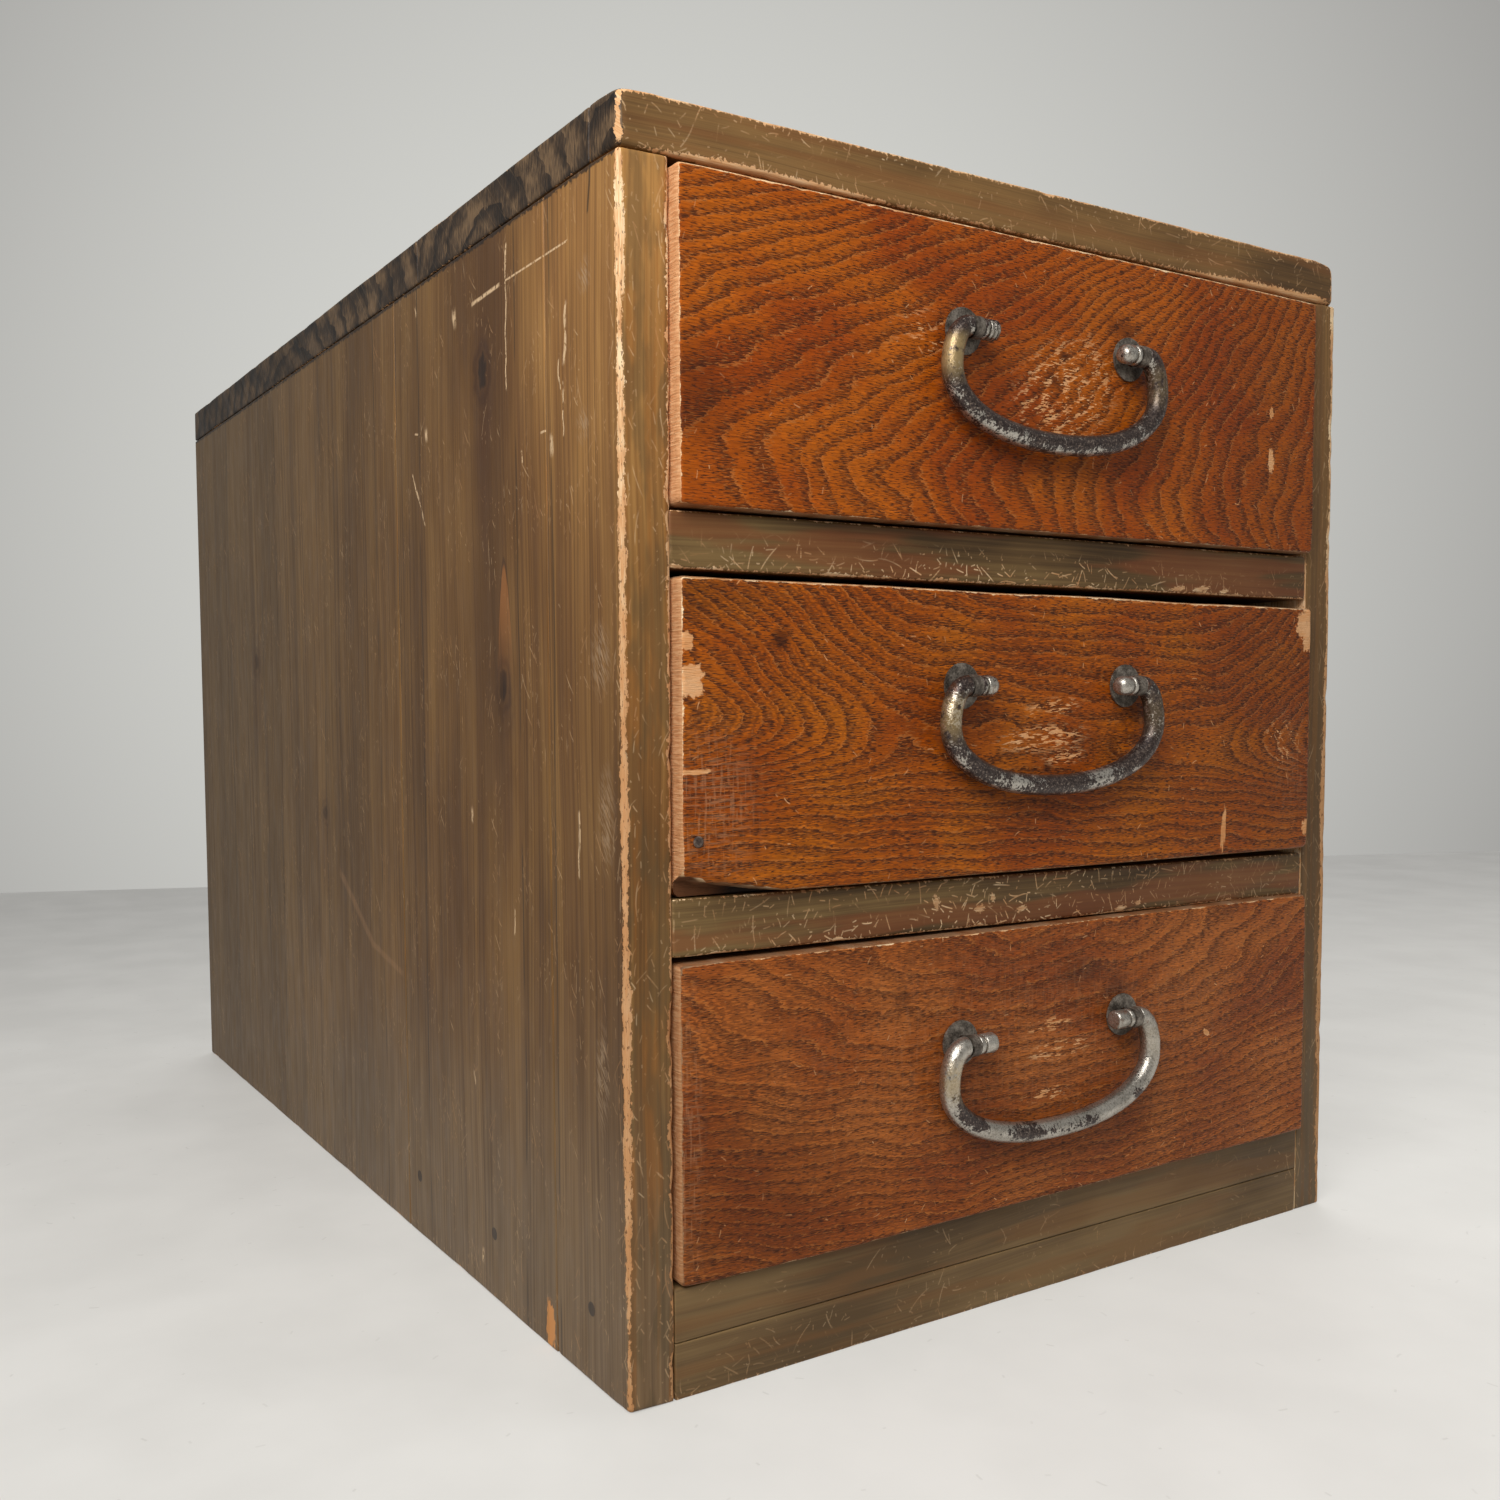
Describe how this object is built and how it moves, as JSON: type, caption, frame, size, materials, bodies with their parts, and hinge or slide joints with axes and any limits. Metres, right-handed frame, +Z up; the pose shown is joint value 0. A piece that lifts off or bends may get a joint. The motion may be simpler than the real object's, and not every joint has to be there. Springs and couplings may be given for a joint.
{
  "type": "tansu chest",
  "caption": "Small wooden chest, deeper than wide, with a stack of plain sliding drawers, each pulled by a swinging iron bail handle.",
  "frame": {"origin": "on the floor, under the centre of the overall box, handles included", "axes": "+Z up; the drawers face and open towards -Y; +X is to the right of someone facing the drawers"},
  "size_m": [0.303, 0.4856, 0.3523],
  "materials": {
    "case_wood": "olive-brown stain, satin, worn to raw wood on the edges",
    "top_wood": "olive-brown stain, satin, dark rough end grain",
    "drawer_lacquer": "orange-brown lacquer, semi-gloss, bold open grain",
    "bare_wood": "bare softwood, matt",
    "iron": "forged iron, dark skin rubbed bright",
    "plate_steel": "dull thin sheet"
  },
  "bodies": {
    "case": {"back_board_lower": "bare_wood", "back_board_upper": "bare_wood", "base_cleat_left": "bare_wood", "base_cleat_right": "bare_wood", "base_rail_back": "bare_wood", "base_rail_front": "case_wood", "bottom_board": "case_wood", "divider_rail_lower": "case_wood", "divider_rail_upper": "case_wood", "drawer_stop_bottom": "bare_wood", "drawer_stop_middle": "bare_wood", "drawer_stop_top": "bare_wood", "left_side_board_front": "case_wood", "left_side_board_middle": "case_wood", "left_side_board_rear": "case_wood", "rear_rail_lower": "bare_wood", "rear_rail_upper": "bare_wood", "right_side_board_front": "case_wood", "right_side_board_middle": "case_wood", "right_side_board_rear": "case_wood", "runner_lower_left": "bare_wood", "runner_lower_right": "bare_wood", "runner_upper_left": "bare_wood", "runner_upper_right": "bare_wood", "top_board_front": "top_wood", "top_board_rear": "top_wood", "top_front_strip": "top_wood"},
    "top_drawer": {"top_drawer_back": "bare_wood", "top_drawer_bottom": "bare_wood", "top_drawer_front": "drawer_lacquer", "top_drawer_side_left": "bare_wood", "top_drawer_side_right": "bare_wood", "top_eye_left": "iron", "top_eye_right": "iron", "top_plate_left": "plate_steel", "top_plate_right": "plate_steel"},
    "middle_drawer": {"middle_drawer_back": "bare_wood", "middle_drawer_bottom": "bare_wood", "middle_drawer_front": "drawer_lacquer", "middle_drawer_nail": "plate_steel", "middle_drawer_side_left": "bare_wood", "middle_drawer_side_right": "bare_wood", "middle_eye_left": "iron", "middle_eye_right": "iron", "middle_plate_left": "plate_steel", "middle_plate_right": "plate_steel"},
    "bottom_drawer": {"bottom_drawer_back": "bare_wood", "bottom_drawer_bottom": "bare_wood", "bottom_drawer_front": "drawer_lacquer", "bottom_drawer_side_left": "bare_wood", "bottom_drawer_side_right": "bare_wood", "bottom_eye_left": "iron", "bottom_eye_right": "iron", "bottom_plate_left": "plate_steel", "bottom_plate_right": "plate_steel"},
    "top_handle": {"top_bail": "iron"},
    "middle_handle": {"middle_bail": "iron"},
    "bottom_handle": {"bottom_bail": "iron"}
  },
  "joints": [
    {"name": "top_drawer_slide", "type": "slide", "parent": "case", "child": "top_drawer", "axis": [0, -1, 0], "range_m": [0, 0.34]},
    {"name": "middle_drawer_slide", "type": "slide", "parent": "case", "child": "middle_drawer", "axis": [0, -1, 0], "range_m": [0, 0.34]},
    {"name": "bottom_drawer_slide", "type": "slide", "parent": "case", "child": "bottom_drawer", "axis": [0, -1, 0], "range_m": [0, 0.34]},
    {"name": "top_handle_swing", "type": "hinge", "parent": "top_drawer", "child": "top_handle", "pos_m": [0, -0.2394, 0.3033], "axis": [-1, 0, 0], "range_deg": [-3, 183]},
    {"name": "middle_handle_swing", "type": "hinge", "parent": "middle_drawer", "child": "middle_handle", "pos_m": [0, -0.2394, 0.1975], "axis": [-1, 0, 0], "range_deg": [-3, 183]},
    {"name": "bottom_handle_swing", "type": "hinge", "parent": "bottom_drawer", "child": "bottom_handle", "pos_m": [0, -0.2394, 0.088], "axis": [-1, 0, 0], "range_deg": [-3, 183]}
  ]
}
